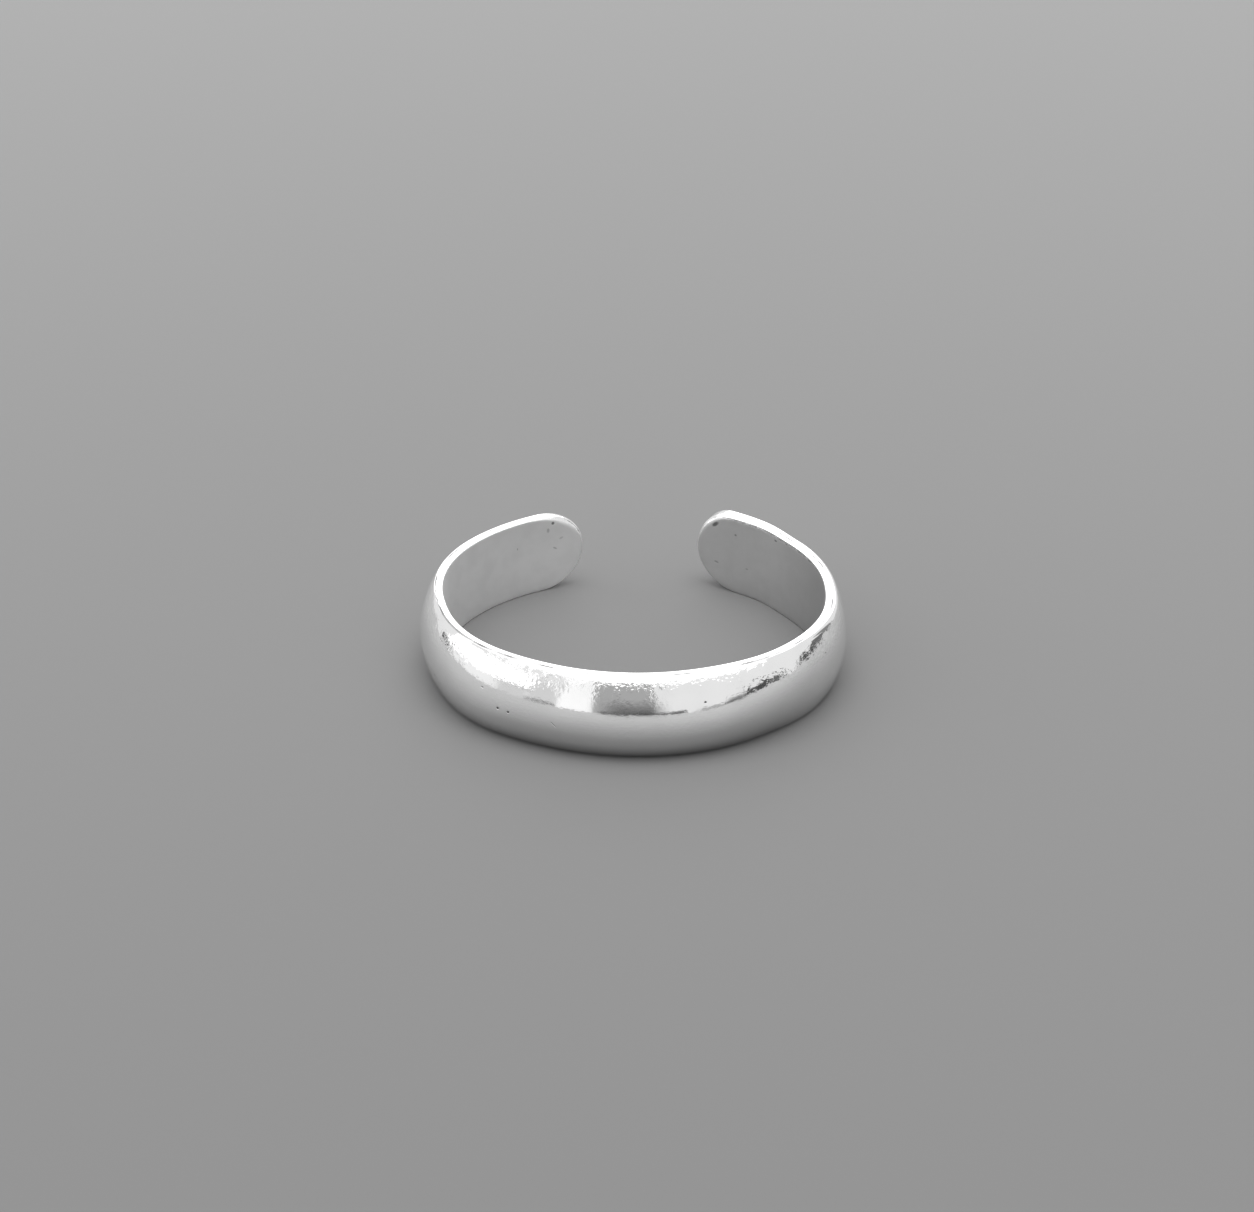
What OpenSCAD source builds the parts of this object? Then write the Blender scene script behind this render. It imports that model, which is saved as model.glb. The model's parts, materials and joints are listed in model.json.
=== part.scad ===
// Open toe ring, bent from one strip of half-round silver. It lies on its side: the bore stands along Z,
// the ring rests on Z = 0, the gap between its ends faces +Y and the origin is the centre of the bore there.

/* [Fit] */
// Inside diameter, where the toe goes through
bore_d = 15; // [12:0.5:20]
// Clear gap between the two ends, straight across
gap_w = 4.7; // [2:0.1:7.5]

/* [Band] */
// Width of the band, along the toe
band_w = 3.3; // [2.6:0.1:4.7]
// Thickness at the middle of the band, from the bore to the crown of the dome
crown_t = 0.88; // [0.6:0.02:1.2]
// Thickness of the band's flat edges, which the dome springs from
rim_t = 0.3; // [0.16:0.02:0.5]

/* [Ends] */
// Radius of the upper corner of each end; the lower corner takes the rest of the band's width
end_top_r = 1.4; // [0.8:0.1:2.2]
// Thickness at the apex of each end
end_t = 0.34; // [0.2:0.02:0.5]

/* [Hidden] */
$fn = 128;

bore_r = bore_d / 2;
crown_r = bore_r + crown_t;

// The dome is one arc across the band, through both rims and the crown
dome_rise = crown_t - rim_t;
dome_r = (pow(band_w / 2, 2) + pow(dome_rise, 2)) / (2 * dome_rise);

// Each end runs straight on from its root, where its longer corner starts, to its apex
end_bottom_r = band_w - end_top_r;
end_run = max(end_top_r, end_bottom_r);

// Angle from the middle of the gap to an end's root
root_a = asin(gap_w / 2 / bore_r) + asin(end_run / bore_r);

// A ball over each end takes the crown down to the apex. It stands this far above the crown at the root,
// and is never rounder than the dome there, so that it leaves the band's section whole.
ball_lift = 0.01;
ball_fall = crown_r + ball_lift - sqrt(pow(bore_r, 2) - pow(end_run, 2)) - end_t;
ball_r = max(dome_r, (pow(end_run, 2) + pow(ball_fall, 2)) / (2 * ball_fall));

// Stock and cutters reach this far past the faces that they make
over = 0.6;
stock_t = over + crown_t + over;

// Section of the full ring: the dome's arc between the two flat edges
module ring_section() {
    intersection() {
        translate([crown_r - dome_r, band_w / 2])
            circle(r = dome_r);
        translate([bore_r - over, 0])
            square([stock_t, band_w]);
    }
}

// What lies outside one rounded corner of an end, with the corner's own point at the origin
module corner_waste(r) {
    difference() {
        translate([-r, -over])
            square([r + over, over + r]);
        translate([-r, r])
            circle(r = r);
    }
}

// Outline of an end seen from outside: along the band, with the root at 0, and up
module end_outline() {
    difference() {
        translate([-over, 0])
            square([over + end_run, band_w]);
        translate([end_run, 0])
            corner_waste(end_bottom_r);
        translate([end_run, band_w])
            mirror([0, 1])
                corner_waste(end_top_r);
    }
}

// Room for one end, with its root on the X axis: the ball, within the outline
module end_room() {
    intersection() {
        translate([crown_r + ball_lift - ball_r, 0, band_w / 2])
            sphere(r = ball_r);
        translate([bore_r - over, 0, 0])
            rotate([90, 0, 90])
                linear_extrude(height = stock_t)
                    end_outline();
    }
}

// Room for the whole band: all the way round from root to root, and both ends
module band_room() {
    union() {
        translate([0, 0, -over])
            rotate([0, 0, 90 + root_a])
                rotate_extrude(angle = 360 - 2 * root_a)
                    translate([bore_r - over, 0])
                        square([stock_t, over + band_w + over]);
        rotate([0, 0, 90 - root_a])
            end_room();
        mirror([1, 0, 0])
            rotate([0, 0, 90 - root_a])
                end_room();
    }
}

module band() {
    color("silver")
        difference() {
            intersection() {
                rotate_extrude()
                    ring_section();
                band_room();
            }
            translate([0, 0, -over])
                cylinder(r = bore_r, h = over + band_w + over);
        }
}

band();
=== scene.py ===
"""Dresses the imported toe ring: a worn silver band, a plain floor, studio light, the photo's view."""

import json
import math

import bmesh
import bpy
from mathutils import Matrix, Vector, noise


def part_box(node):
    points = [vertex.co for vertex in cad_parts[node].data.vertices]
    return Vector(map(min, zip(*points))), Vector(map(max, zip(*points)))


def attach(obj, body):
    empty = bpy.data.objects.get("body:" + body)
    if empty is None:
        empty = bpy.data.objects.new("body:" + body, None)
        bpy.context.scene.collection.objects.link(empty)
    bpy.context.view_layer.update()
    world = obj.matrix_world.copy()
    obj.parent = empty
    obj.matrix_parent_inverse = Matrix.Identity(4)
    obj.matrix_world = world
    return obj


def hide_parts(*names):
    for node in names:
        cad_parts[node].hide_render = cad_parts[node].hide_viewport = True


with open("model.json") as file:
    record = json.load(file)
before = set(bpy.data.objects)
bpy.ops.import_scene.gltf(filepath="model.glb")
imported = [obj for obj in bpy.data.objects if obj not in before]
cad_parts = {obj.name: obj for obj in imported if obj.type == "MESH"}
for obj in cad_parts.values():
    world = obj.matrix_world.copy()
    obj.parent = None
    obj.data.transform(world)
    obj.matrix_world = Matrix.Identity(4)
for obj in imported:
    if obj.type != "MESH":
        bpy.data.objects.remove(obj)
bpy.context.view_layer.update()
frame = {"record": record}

MM = 0.001

# The ring's sizes in millimetres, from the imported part
BORE = next(m for m in frame["record"]["mounts"] if m["name"] == "toe_bore")
BORE_R = BORE["dims"]["r_mm"]
BAND_W = BORE["dims"]["length_mm"]
CROWN_T = -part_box("band")[0].y / MM - BORE_R

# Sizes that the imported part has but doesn't state, as part.scad names them. Both corners of an end are
# struck from one height, the spine.
GAP_W = 4.7
END_TOP_R = 1.4
END_BOTTOM_R = BAND_W - END_TOP_R
SPINE_Z = END_BOTTOM_R
APEX_S = BORE_R * (math.pi - math.asin(GAP_W / 2 / BORE_R))
ROOT_S = APEX_S - END_BOTTOM_R

# The tables below hold pairs of degrees from the front, positive to the right, and the value there.
# Lengths are in millimetres.

# Thickness of the band's flat edges, and what an end's apex adds to it
RIM_T = (
    (-162, 0.48),
    (-120, 0.43),
    (-80, 0.32),
    (-60, 0.3),
    (38, 0.3),
    (62, 0.45),
    (95, 0.45),
    (125, 0.57),
    (162, 0.84),
)
APEX_EXTRA = 0.04
# How far along the band the upper corner of each end runs
LEFT_CORNER_RUN = 1.85
RIGHT_CORNER_RUN = 1.2
# How far the crown lies below the middle of the band
CROWN_DROP = ((-66, 0), (-38, 0.5), (0, 0.6), (12, 0.6), (58, 0))
# Rounding of the band's outer shoulders, the upper and the lower one
TOP_SHOULDER_R = ((38, 0.14), (62, 0.26), (95, 0.26), (125, 0.14))
BOTTOM_SHOULDER_R = 0.28
# Rounding of its inner edges, the upper and the lower one
TOP_EDGE_R = ((-160, 0.34), (-140, 0.06), (148, 0.06), (160, 0.3))
BOTTOM_EDGE_R = 0.06
# How far the hand-bent band strays outward from a true circle
STRAY = (
    (-162, -0.18),
    (-80, 0),
    (-50, 0.15),
    (-22, 0),
    (70, 0),
    (95, -0.1),
    (125, -0.12),
    (142, 0.06),
    (162, 0.1),
)
# How far its section leans, in degrees; positive turns the outside up
LEAN = ((-110, 0), (-70, 2.5), (-42, 4.5), (-15, 3.2), (0, 3.6), (20, 3.8), (45, 0))

# Faint waves left by the bending and polishing
WAVE_LENGTH = 2.2
WAVE_HEIGHT = 0.005

# The mesh keeps each point's place in the flat band under this name: along, up and out, in millimetres
STRIP = "strip"

# Mesh steps: columns along the band, rays over an end, and points down one half section
LONG_STEPS = 400
TOP_FLAT_STEPS = 4
TOP_FAN_STEPS = 30
BOTTOM_FAN_STEPS = 40
DOME_STEPS = 18
SHOULDER_STEPS = 8
RIM_STEPS = 3
INNER_EDGE_STEPS = 6
INNER_STEPS = 12
# Tries at the point where a shoulder leaves the dome, and the step that finds the dome's slope there
SHOULDER_TRIES = 4
SLOPE_STEP = 0.01
# Points closer than this become one
MERGE = 0.0005

# Pits and scratches, most of them seen in the photo. Columns: degrees from the front, height, length,
# width, slant in degrees and strength.
OUTER_MARKS = (
    (-35.1, 1.35, 0.11, 0.1, 0, 1.0),
    (-31.9, 1.32, 0.11, 0.09, 20, 1.0),
    (-62.2, 1.15, 0.09, 0.08, 0, 0.5),
    (-40.7, 1.93, 0.12, 0.07, 0, 0.5),
    (-19.0, 1.26, 0.28, 0.035, -42, 0.7),
    (20.4, 2.22, 0.09, 0.08, 0, 1.0),
    (62.9, 2.46, 0.08, 0.07, 0, 0.6),
    (33.0, 1.2, 0.05, 0.04, 0, 0.5),
    (101.0, 1.5, 0.1, 0.06, 30, 0.8),
    (-112.0, 2.1, 0.3, 0.03, 25, 0.7),
    (138.0, 1.2, 0.35, 0.03, -20, 0.7),
    (-150.0, 1.8, 0.08, 0.07, 0, 0.8),
)
INNER_MARKS = (
    (-151.2, 2.97, 0.15, 0.14, 0, 0.8),
    (-149.5, 2.68, 0.14, 0.22, 0, 0.3),
    (-154.1, 2.25, 0.22, 0.1, -20, 0.25),
    (-151.9, 1.84, 0.24, 0.08, 30, 0.35),
    (155.7, 2.87, 0.36, 0.17, -40, 0.75),
    (148.5, 2.6, 0.11, 0.1, 0, 0.6),
    (155.0, 1.19, 0.22, 0.09, 15, 0.45),
    (143.9, 1.24, 0.14, 0.07, 0, 0.35),
    (131.6, 3.08, 0.2, 0.1, 0, 0.6),
    (-138.0, 2.2, 0.05, 0.12, 0, 0.4),
    (-20.0, 1.9, 0.4, 0.03, 12, 0.6),
    (40.0, 1.3, 0.3, 0.03, -15, 0.6),
)
# A mark fades in between these shares of its half size
MARK_FADE = (1.2, 0.5)

# Relief of the silver, in millimetres
MARK_DEPTH = 0.012
DENT_DEPTH = 0.014
GRAIN_DEPTH = 0.0006
SATIN_DEPTH = 0.0016

# Each pair below says where something starts and where it is full, in millimetres: heights out from
# the bore, distances below the upper edge, heights above the lower one, or places along the strip.
INSIDE_OUT = (0.06, 0.02)
DENTS_BELOW_TOP = (1.2, 0.5)
DENTS_OFF_EDGE = (0.03, 0.25)
# The crease, a groove darkened as a painted shade line
CREASE_BELOW_TOP = (0.12, 0.05)
# Painted shade line under the inner upper edge: below the top, and along the strip
INNER_EDGE_SHADE_BELOW_TOP = (0.2, 0.13)
INNER_EDGE_SHADE_ALONG = (12.0, 15.0)
# Painted shade low on the front of the outer face: along the band from the front, and up from the lower
# edge
LOW_FRONT_SHADE_ALONG = (8.5, 2.0)
LOW_FRONT_SHADE_UP = (1.9, 0.9)
# Painted shade inside the right arm: where it starts and where it is full, from each side along the
# strip
RIGHT_SHADE_LEFT_END = (6.0, 9.0)
RIGHT_SHADE_RIGHT_END = (18.0, 11.5)
# The inner face is painted darker towards the right, as shade, along the strip
INNER_SHADE_ALONG = (-8.0, 10.0)

# The crease and painted shade line round the upper edge: how far out from the bore it runs, and its half
# width
CREASE_H = 0.3
CREASE_W = 0.045
# How far the edge of the painted shade line under the inner upper edge wanders
INNER_EDGE_SHADE_WANDER = 0.2

# The part of a noise's values over which it turns from one value to another
NOISE_MIDDLE = (0.4, 0.6)
NOISE_MOST = (0.3, 0.7)
NOISE_UPPER = (0.35, 0.7)

# Strengths at the least and at the most: dents, crease with painted shade line, inner painted shade line
DENT_SHARES = (0.15, 1.0)
DENT_PATCHES = (0.3, 1.0)
CREASE_WEAR = (0.25, 0.85)
INNER_EDGE_SHADE_SHARES = (0.12, 0.7)

# Tones and roughnesses of the silver. Two values are the ends between which it varies.
OUTER_TONE = (0.96, 0.92)
# Inner tone, from plain silver at the left to painted shade at the right
INNER_TONE_TO_SHADE = (0.97, 0.68)
INNER_BLOTCHES = (1.0, 0.93)
# Tone of the painted shade low on the front
LOW_FRONT_SHADE_TONE = 0.77
# Tone of the painted shade inside the right arm
RIGHT_SHADE_TONE = 0.45
# Tone of the pits and scratches, and of the painted shade lines along the upper edges
MARK_AND_SHADE_TONE = 0.08
OUTER_ROUGH = (0.05, 0.1)
INNER_ROUGH = (0.43, 0.47)
MARK_ROUGH = 0.45

# The studio's surroundings, as soft-edged panels seen from the ring. Angles in degrees: azimuth is 0
# towards the camera and positive to its right. Columns: azimuth, half width, lowest, highest, softness,
# brightness.
SURROUND = 0.82
PANELS = (
    (180, 24, 16, 60, 5, 2.6),
    (-81, 31, 8.5, 23, 1.2, 1.5),
    (-87, 20, -6, 8.5, 1, 0.9),
    (-57, 12, 7, 9, 0.7, 0.4),
    (-58, 7, -6, 7, 2, 0.66),
    (-44, 5.5, -6, 22, 1.5, 0.66),
    (-45, 6, -3, 2, 1, 0.25),
    (-28.5, 8.5, -6, 40, 2, 1.02),
    (-3, 15.5, -6, 30, 1.2, 0.4),
    (2, 13, -12, 9, 7, 0.15),
    (3, 18, -3, 2, 0.8, 0.05),
    (21, 7, -3, 2, 0.8, 0.1),
    (44, 9, -3, 1.8, 0.8, 0.35),
    (54, 6, -3, 3.5, 1.5, 0.15),
    (67, 10, -3, 7, 1.2, 0.07),
    (79, 5, -3, 4, 1.2, 0.14),
    (101, 9, -3, 5.5, 1, 0.06),
    (114, 7, -3, 11, 1.5, 0.15),
    (126, 6, -3, 28, 2, 0.24),
    (-114, 6.5, 1.5, 6.5, 0.8, 0.08),
    (-20, 98, 30, 120, 1.5, 1.5),
    (0, 200, 46, 120, 2, 1.5),
    (0, 200, 64, 120, 4, 4.3),
)

# The floor: half its side in metres, and its tone
FLOOR_HALF = 1.5
FLOOR_TONE = 0.14

# The photo: its size, the camera's focal length in its pixels and where the ring's middle lies in it
PHOTO_W = 1254
PHOTO_H = 1212
FOCAL_PX = 3000
RING_PX = (634, 623.4)
SENSOR_MM = 36
CAMERA_MM = 117.6
CAMERA_AZIMUTH = 1.4
CAMERA_ELEVATION = 26.2
CAMERA_ROLL = 0.73


def between(a, b, steps):
    """steps + 1 evenly spaced values from a to b."""
    return [a + (b - a) * i / steps for i in range(steps + 1)]


def eased(table, x):
    """The table's value at x, with an even ease between its rows."""
    if x <= table[0][0]:
        return table[0][1]
    for (x0, v0), (x1, v1) in zip(table, table[1:]):
        if x <= x1:
            t = (x - x0) / (x1 - x0)
            return v0 + (v1 - v0) * t * t * (3 - 2 * t)
    return table[-1][1]


def dome_height(s, z):
    """Height of the outer face over the bore at s along the band and z up it, without its shoulders."""
    turn = math.degrees(s / BORE_R)
    drop = eased(CROWN_DROP, turn)
    rim = eased(RIM_T, turn)
    across = z - BAND_W / 2 + drop
    reach = BAND_W / 2 + (drop if across > 0 else -drop)
    rise = CROWN_T - rim
    radius = (reach**2 + rise**2) / (2 * rise)
    past_root = max(0, abs(s) - ROOT_S) / END_BOTTOM_R
    apex = radius - CROWN_T + rim + APEX_EXTRA
    fall = radius**2 - (SPINE_Z - BAND_W / 2) ** 2 - apex**2
    return CROWN_T - radius + math.sqrt(radius**2 - across**2 - fall * past_root**2)


def half_section(spine, edge):
    """Points (s, z, h) from the spine over the outside, round the edge and back inside to the spine."""
    length = math.dist(spine, edge)
    turn = math.degrees(edge[0] / BORE_R)
    height = edge[1] / BAND_W
    top = eased(TOP_SHOULDER_R, turn)
    shoulder = top + (BOTTOM_SHOULDER_R - top) * (1 - height)

    def inward(d):
        return [e + (p - e) * d / length for p, e in zip(spine, edge)]

    def outer(d):
        return dome_height(*inward(d))

    reach = shoulder / 2
    for _ in range(SHOULDER_TRIES):
        slope = math.atan((outer(reach + SLOPE_STEP) - outer(reach - SLOPE_STEP)) / (2 * SLOPE_STEP))
        reach = shoulder * (1 - math.sin(slope))
    centre_h = outer(reach) - shoulder * math.cos(slope)
    profile = [(d, outer(d)) for d in between(length, reach, DOME_STEPS)]
    for a in between(slope, math.pi / 2, SHOULDER_STEPS)[1:]:
        profile.append((shoulder * (1 - math.sin(a)), centre_h + shoulder * math.cos(a)))
    inner = BOTTOM_EDGE_R + (eased(TOP_EDGE_R, turn) - BOTTOM_EDGE_R) * height**2
    inner = min(inner, centre_h)
    profile += [(0, h) for h in between(centre_h, inner, RIM_STEPS)[1:]]
    for a in between(0, math.pi / 2, INNER_EDGE_STEPS)[1:]:
        profile.append((inner * (1 - math.cos(a)), inner * (1 - math.sin(a))))
    profile += [(d, 0) for d in between(inner, length, INNER_STEPS)[1:]]
    return [(*inward(d), h) for d, h in profile]


def end_outline(corner_run):
    """Points (s, z) round an end, drawn as the right one, between its upper and its lower root."""
    corner_s = APEX_S - corner_run
    flat = [(s, BAND_W) for s in between(ROOT_S, corner_s, TOP_FLAT_STEPS)]
    top = [
        (corner_s + corner_run * math.sin(a), SPINE_Z + END_TOP_R * math.cos(a))
        for a in between(0, math.pi / 2, TOP_FAN_STEPS)
    ]
    bottom = [
        (ROOT_S + END_BOTTOM_R * math.cos(a), SPINE_Z - END_BOTTOM_R * math.sin(a))
        for a in between(0, math.pi / 2, BOTTOM_FAN_STEPS)
    ]
    return flat[1:] + top[1:] + bottom[1:-1]


def outline_stations():
    """Pairs of a spine point and an edge point, once round the flat band."""
    run = between(-ROOT_S, ROOT_S, LONG_STEPS)
    right = [((ROOT_S, SPINE_Z), p) for p in end_outline(RIGHT_CORNER_RUN)]
    left = [((-ROOT_S, SPINE_Z), (-s, z)) for s, z in reversed(end_outline(LEFT_CORNER_RUN))]
    upper = [((s, SPINE_Z), (s, BAND_W)) for s in run]
    lower = [((s, SPINE_Z), (s, 0)) for s in reversed(run)]
    return upper + right + lower + left


def bent(s, z, h):
    """Where a point of the flat band goes when it is bent round the bore, in metres."""
    turn = s / BORE_R
    lean = math.radians(eased(LEAN, math.degrees(turn)))
    across = z - BAND_W / 2
    wave = WAVE_HEIGHT * noise.noise(Vector((s, z, 0)) / WAVE_LENGTH)
    out = h * math.cos(lean) - across * math.sin(lean) + wave
    up = across * math.cos(lean) + h * math.sin(lean) + BAND_W / 2
    r = BORE_R + out + eased(STRAY, math.degrees(turn))
    return Vector((r * math.sin(turn), -r * math.cos(turn), up)) * MM


def make_band():
    """The whole band as one closed mesh."""
    mesh = bmesh.new()
    flat_place = mesh.verts.layers.float_vector.new(STRIP)
    rows = []
    for pair in outline_stations():
        rows.append([])
        for point in half_section(*pair):
            vertex = mesh.verts.new(bent(*point))
            vertex[flat_place] = point
            rows[-1].append(vertex)
    for row, following in zip(rows, rows[1:] + rows[:1]):
        for a, b, c, d in zip(row, row[1:], following[1:], following):
            mesh.faces.new((a, b, c, d))
    bmesh.ops.remove_doubles(mesh, verts=mesh.verts, dist=MERGE * MM)
    bmesh.ops.recalc_face_normals(mesh, faces=mesh.faces)
    for face in mesh.faces:
        face.smooth = True
    data = bpy.data.meshes.new("toe_ring_band")
    mesh.to_mesh(data)
    mesh.free()
    piece = bpy.data.objects.new("toe_ring_band", data)
    bpy.context.scene.collection.objects.link(piece)
    return piece


class Nodes:
    """Short calls that add shader nodes to a tree and wire them up."""

    def __init__(self, tree):
        self.tree = tree
        tree.nodes.clear()

    def add(self, kind, inputs=(), **settings):
        node = self.tree.nodes.new(kind)
        for name, value in settings.items():
            setattr(node, name, value)
        for key, value in dict(inputs).items():
            self.wire(value, node.inputs[key])
        return node

    def wire(self, value, socket):
        if isinstance(value, bpy.types.NodeSocket):
            self.tree.links.new(value, socket)
        else:
            socket.default_value = value

    def math(self, operation, *values):
        node = self.add("ShaderNodeMath", dict(enumerate(values)), operation=operation)
        return node.outputs[0]

    def times(self, a, b):
        return self.math("MULTIPLY", a, b)

    def vector(self, operation, *values):
        node = self.add("ShaderNodeVectorMath", dict(enumerate(values)), operation=operation)
        return node.outputs["Value" if operation == "LENGTH" else "Vector"]

    def ease(self, value, low, high, to_low=0.0, to_high=1.0):
        """An even ease from to_low to to_high as value goes from low to high."""
        return self.add(
            "ShaderNodeMapRange",
            {"Value": value, "From Min": low, "From Max": high, "To Min": to_low, "To Max": to_high},
            interpolation_type="SMOOTHSTEP",
        ).outputs["Result"]

    def mix(self, share, a, b):
        return self.add("ShaderNodeMix", {0: share, 2: a, 3: b}, data_type="FLOAT").outputs[0]

    def noise(self, place, scale, detail):
        return self.add(
            "ShaderNodeTexNoise",
            {"Vector": place, "Scale": scale, "Detail": detail},
        ).outputs["Fac"]

    def parts(self, vector):
        return self.add("ShaderNodeSeparateXYZ", {0: vector}).outputs

    def join(self, x, y, z):
        return self.add("ShaderNodeCombineXYZ", {0: x, 1: y, 2: z}).outputs[0]


def marks(n, strip, rows):
    """How much of each point lies in a mark, from 0 to 1."""
    total = 0.0
    for turn, z, long, wide, slant, strength in rows:
        offset = n.vector("SUBTRACT", strip, (math.radians(turn) * BORE_R, z, 0.0))
        turned = n.add(
            "ShaderNodeVectorRotate",
            {"Vector": offset, "Angle": math.radians(-slant)},
            rotation_type="Z_AXIS",
        ).outputs[0]
        away = n.vector("LENGTH", n.vector("MULTIPLY", turned, (2 / long, 2 / wide, 0.0)))
        total = n.math("MAXIMUM", n.ease(away, *MARK_FADE, 0.0, strength), total)
    return total


def crease_and_shade_line(n, s, h, below_top):
    """Share of each point in the worn groove and painted shade line where the flat upper edge meets the
    dome.
    """
    worn = n.ease(n.noise(n.join(s, 0.0, 0.0), scale=0.8, detail=4.0), *NOISE_MIDDLE, *CREASE_WEAR)
    off_line = n.math("ABSOLUTE", n.math("SUBTRACT", h, CREASE_H))
    line = n.times(n.ease(off_line, CREASE_W, CREASE_W / 3), worn)
    return n.times(line, n.ease(below_top, *CREASE_BELOW_TOP))


def inner_edge_shade(n, strip, s, below_top):
    """How much of each point lies in the painted shade line along the inner upper edge, most on the
    right.
    """
    wander = n.times(n.noise(strip, scale=5.0, detail=4.0), INNER_EDGE_SHADE_WANDER)
    near_edge = n.ease(n.math("ADD", below_top, wander), *INNER_EDGE_SHADE_BELOW_TOP)
    return n.times(near_edge, n.ease(s, *INNER_EDGE_SHADE_ALONG, *INNER_EDGE_SHADE_SHARES))


def relief(n, strip, below_top, inside):
    """Height of the unmarked surface in millimetres: dents and grain outside, satin inside."""
    patches = n.ease(n.noise(strip, scale=1.6, detail=2.0), *NOISE_MIDDLE, *DENT_PATCHES)
    high_up = n.ease(below_top, *DENTS_BELOW_TOP, *DENT_SHARES)
    dented = n.times(n.times(high_up, n.ease(below_top, *DENTS_OFF_EDGE)), patches)
    dents = n.times(n.noise(strip, scale=8.0, detail=2.5), n.times(dented, DENT_DEPTH))
    drawn_along = n.vector("MULTIPLY", strip, (0.1, 1.0, 1.0))
    grain = n.times(n.noise(drawn_along, scale=16.0, detail=3.0), GRAIN_DEPTH)
    drawn_up = n.vector("MULTIPLY", strip, (1.0, 0.35, 1.0))
    satin = n.times(n.noise(drawn_up, scale=7.0, detail=3.0), SATIN_DEPTH)
    return n.mix(inside, n.math("ADD", dents, grain), satin)


def silver_tone(n, s, z, inside, blotches):
    """Tone of the unmarked silver, with painted shade low on the front and inside the right arm."""
    outer = n.ease(blotches, *NOISE_MOST, *OUTER_TONE)
    # Painted shade: the outer face is darker low on the front
    in_front = n.ease(n.math("ABSOLUTE", s), *LOW_FRONT_SHADE_ALONG)
    low_front_shade = n.times(in_front, n.ease(z, *LOW_FRONT_SHADE_UP))
    outer = n.mix(low_front_shade, outer, LOW_FRONT_SHADE_TONE)

    # Painted shade: the inner face is darker towards the right, and darker still inside the right arm
    inner = n.times(
        n.ease(s, *INNER_SHADE_ALONG, *INNER_TONE_TO_SHADE),
        n.ease(blotches, *NOISE_MOST, *INNER_BLOTCHES),
    )
    right_inner_shade = n.times(n.ease(s, *RIGHT_SHADE_RIGHT_END), n.ease(s, *RIGHT_SHADE_LEFT_END))
    inner = n.mix(right_inner_shade, inner, RIGHT_SHADE_TONE)
    return n.mix(inside, outer, inner)


def silver():
    """Worn polished silver: bright and finely dented outside, satin inside, in places darkened as
    painted shade.
    """
    material = bpy.data.materials.new("silver")
    material.use_nodes = True
    n = Nodes(material.node_tree)
    strip = n.add("ShaderNodeAttribute", attribute_name=STRIP).outputs["Vector"]
    s, z, h = n.parts(strip)
    below_top = n.math("SUBTRACT", BAND_W, z)
    inside = n.ease(h, *INSIDE_OUT)
    blotches = n.noise(strip, scale=0.9, detail=3.0)

    # Outside: the pits and scratches, and the crease with its painted shade line
    outer_marks_and_shade = n.math("MAXIMUM", marks(n, strip, OUTER_MARKS), crease_and_shade_line(n, s, h, below_top))
    # Inside: the marks, and the painted shade line under the upper edge
    inner_marks_and_shade = n.math("MAXIMUM", marks(n, strip, INNER_MARKS), inner_edge_shade(n, strip, s, below_top))
    marks_and_shade = n.mix(inside, outer_marks_and_shade, inner_marks_and_shade)

    height = n.math("SUBTRACT", relief(n, strip, below_top, inside), n.times(marks_and_shade, MARK_DEPTH))
    bump = n.add("ShaderNodeBump", {"Height": height, "Distance": MM, "Strength": 1.0})

    outer_rough = n.ease(blotches, *NOISE_UPPER, *OUTER_ROUGH)
    inner_rough = n.ease(blotches, *NOISE_MOST, *INNER_ROUGH)
    rough = n.math("MAXIMUM", n.mix(inside, outer_rough, inner_rough), n.times(marks_and_shade, MARK_ROUGH))

    # The marks and the painted shade lines darken the tone
    tone = n.mix(marks_and_shade, silver_tone(n, s, z, inside, blotches), MARK_AND_SHADE_TONE)
    shader = n.add(
        "ShaderNodeBsdfPrincipled",
        {
            "Base Color": n.join(tone, tone, tone),
            "Roughness": rough,
            "Normal": bump.outputs[0],
            "Metallic": 1.0,
        },
    )
    n.add("ShaderNodeOutputMaterial", {"Surface": shader.outputs[0]})
    return material


def studio_world():
    """Soft light from panels round the ring, shaded in front as the photo's reflections show."""
    world = bpy.data.worlds.new("studio")
    bpy.context.scene.world = world
    world.use_nodes = True
    n = Nodes(world.node_tree)
    direction = n.add("ShaderNodeTexCoord").outputs["Generated"]
    x, y, z = n.parts(direction)
    azimuth = n.math("ARCTAN2", x, n.times(y, -1.0))
    elevation = n.math("ARCSINE", z)
    light = SURROUND
    for *angles, brightness in PANELS:
        at, half, low, high, soft = (math.radians(angle) for angle in angles)
        off = n.math("ABSOLUTE", n.math("WRAP", n.math("SUBTRACT", azimuth, at), math.pi, -math.pi))
        across = n.ease(off, half + soft, half - soft)
        over = n.ease(elevation, low - soft, low + soft)
        under = n.ease(elevation, high + soft, high - soft)
        light = n.mix(n.times(across, n.times(over, under)), light, brightness)
    seen = n.add("ShaderNodeLightPath").outputs["Is Camera Ray"]
    backdrop = n.mix(seen, light, SURROUND)
    background = n.add("ShaderNodeBackground", {"Color": n.join(backdrop, backdrop, backdrop)})
    n.add("ShaderNodeOutputWorld", {"Surface": background.outputs[0]})


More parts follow.
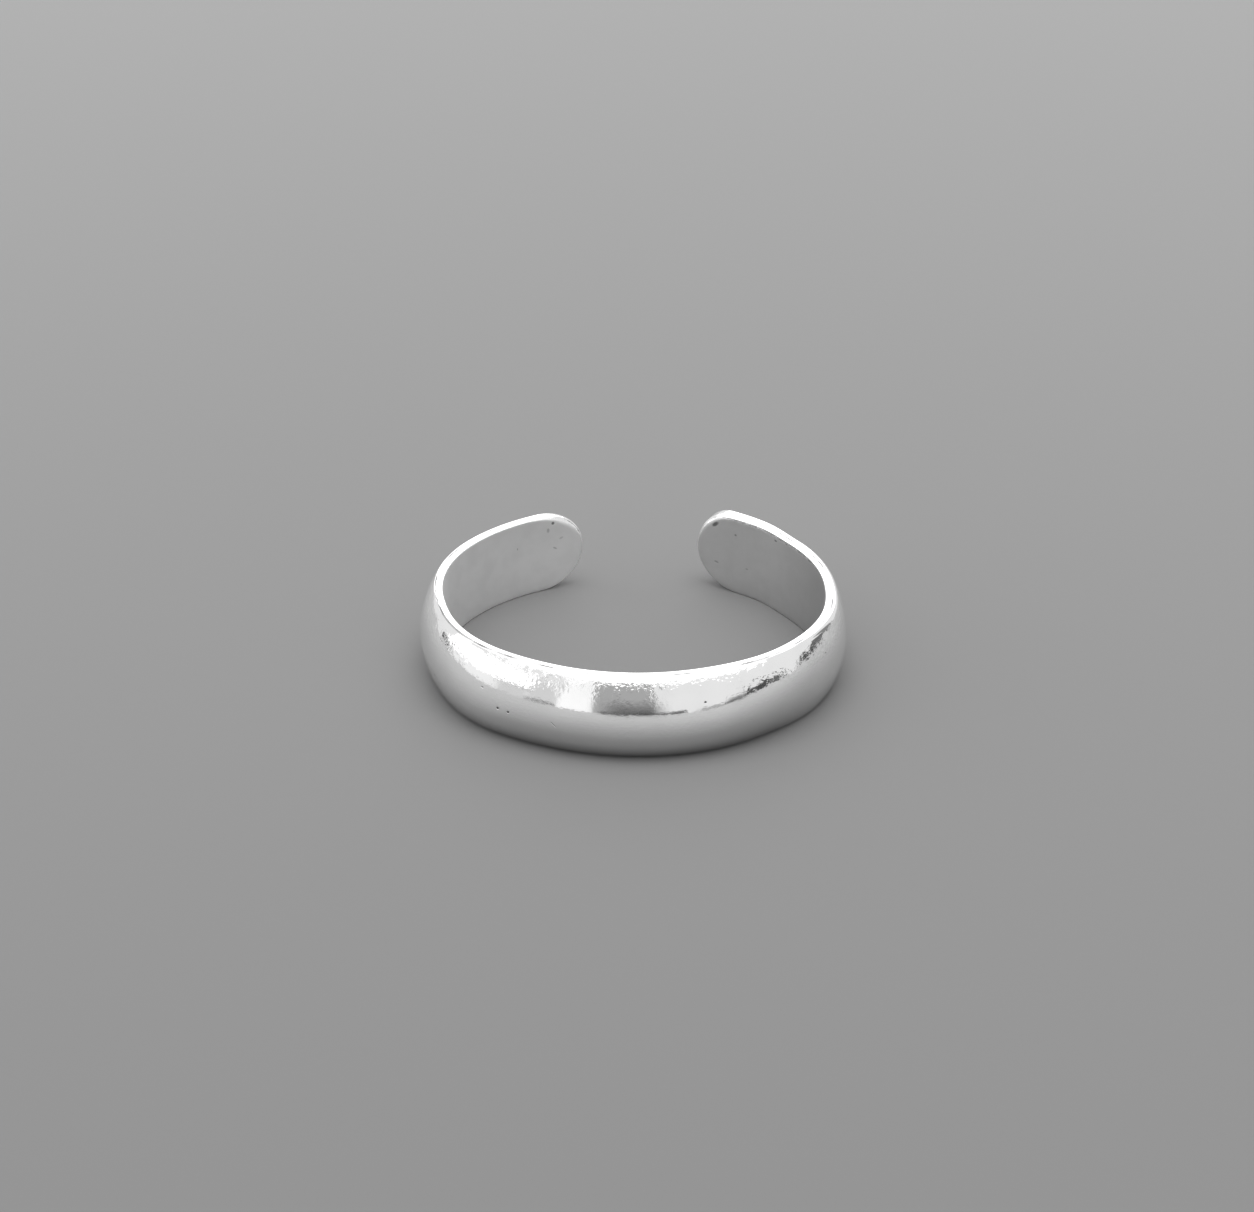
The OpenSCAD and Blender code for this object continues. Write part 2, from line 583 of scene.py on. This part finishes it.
def make_floor():
    """A plain pale floor under the ring."""
    data = bpy.data.meshes.new("floor")
    corners = [(x * FLOOR_HALF, y * FLOOR_HALF, 0) for x, y in ((-1, -1), (1, -1), (1, 1), (-1, 1))]
    data.from_pydata(corners, [], [(0, 1, 2, 3)])
    floor = bpy.data.objects.new("floor", data)
    bpy.context.scene.collection.objects.link(floor)
    material = bpy.data.materials.new("floor")
    material.use_nodes = True
    n = Nodes(material.node_tree)
    shader = n.add(
        "ShaderNodeBsdfPrincipled",
        {
            "Base Color": (FLOOR_TONE, FLOOR_TONE, FLOOR_TONE, 1),
            "Roughness": 1.0,
            "Specular IOR Level": 0.1,
            "Sheen Weight": 0.7,
            "Sheen Roughness": 0.4,
        },
    )
    n.add("ShaderNodeOutputMaterial", {"Surface": shader.outputs[0]})
    floor.data.materials.append(material)


def make_camera():
    """The photo's camera: aimed at the ring's middle, then turned so that it lies as in the photo."""
    azimuth = math.radians(CAMERA_AZIMUTH)
    elevation = math.radians(CAMERA_ELEVATION)
    back = Vector(
        (
            math.sin(azimuth) * math.cos(elevation),
            -math.cos(azimuth) * math.cos(elevation),
            math.sin(elevation),
        )
    )
    middle = Vector((0, 0, BAND_W / 2 * MM))
    data = bpy.data.cameras.new("camera")
    data.sensor_width = SENSOR_MM
    data.lens = FOCAL_PX * SENSOR_MM / PHOTO_W
    data.clip_start = 0.005
    data.clip_end = 10
    camera = bpy.data.objects.new("camera", data)
    bpy.context.scene.collection.objects.link(camera)
    tilt = math.atan((RING_PX[1] - PHOTO_H / 2) / FOCAL_PX)
    pan = math.atan((RING_PX[0] - PHOTO_W / 2) / FOCAL_PX)
    camera.matrix_world = (
        Matrix.Translation(middle + back * CAMERA_MM * MM)
        @ (-back).to_track_quat("-Z", "Y").to_matrix().to_4x4()
        @ Matrix.Rotation(math.radians(CAMERA_ROLL), 4, "Z")
        @ Matrix.Rotation(tilt, 4, "X")
        @ Matrix.Rotation(pan, 4, "Y")
    )
    bpy.context.scene.camera = camera


band = make_band()
band.data.materials.append(silver())
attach(band, "root")
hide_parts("band")

studio_world()
make_floor()
make_camera()
bpy.context.scene.view_settings.view_transform = "Standard"
